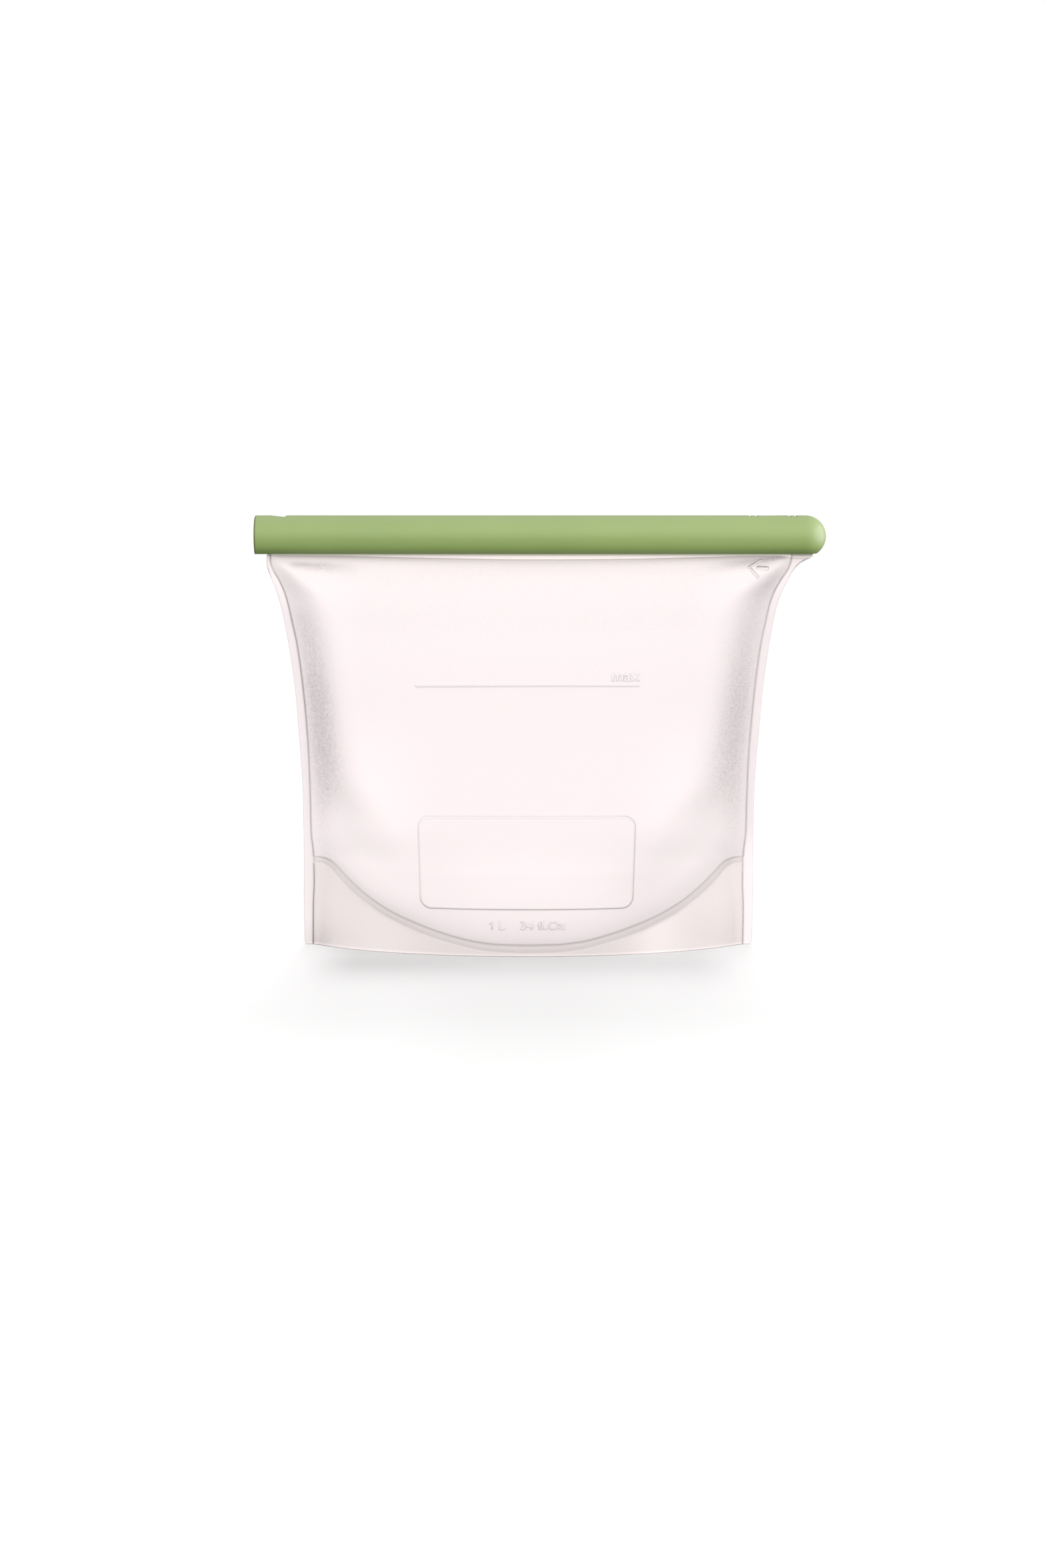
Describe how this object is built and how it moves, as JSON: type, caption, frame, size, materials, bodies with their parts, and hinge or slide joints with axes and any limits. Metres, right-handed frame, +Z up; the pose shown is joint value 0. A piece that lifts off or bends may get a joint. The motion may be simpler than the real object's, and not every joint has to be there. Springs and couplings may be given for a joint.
{
  "type": "reusable silicone food bag",
  "caption": "Stand-up translucent silicone food bag with welded side seams, a folded base gusset and a rigid C-channel bar that slides along the beaded lips to seal the mouth",
  "frame": {"origin": "on the plane the bag stands on, under the middle of the closing bar and midway between the two panels", "axes": "+Z up from the base to the closing bar, +X along the bar from its open end towards its domed end, -Y out of the front panel that carries the label field"},
  "size_m": [0.26, 0.0648, 0.199],
  "materials": {
    "silicone_panel": "satin translucent silicone, milky with a faint pink cast",
    "silicone_lip": "satin milky silicone",
    "bar_plastic": "satin leaf green"
  },
  "bodies": {
    "bag": {"front_panel": "silicone_panel", "back_panel": "silicone_panel", "base_gusset": "silicone_panel"},
    "mouth": {"front_lip": "silicone_lip", "back_lip": "silicone_lip"},
    "slide_bar": {"slide_bar": "bar_plastic"}
  },
  "joints": [
    {"name": "neck_flex", "type": "hinge", "parent": "bag", "child": "mouth", "pos_m": [-0.005, 0, 0.178], "axis": [1, 0, 0], "range_deg": [-45, 45], "stiffness_Nm_per_rad": 0.05},
    {"name": "bar_slide", "type": "slide", "parent": "mouth", "child": "slide_bar", "axis": [1, 0, 0], "range_m": [0, 0.258]}
  ]
}
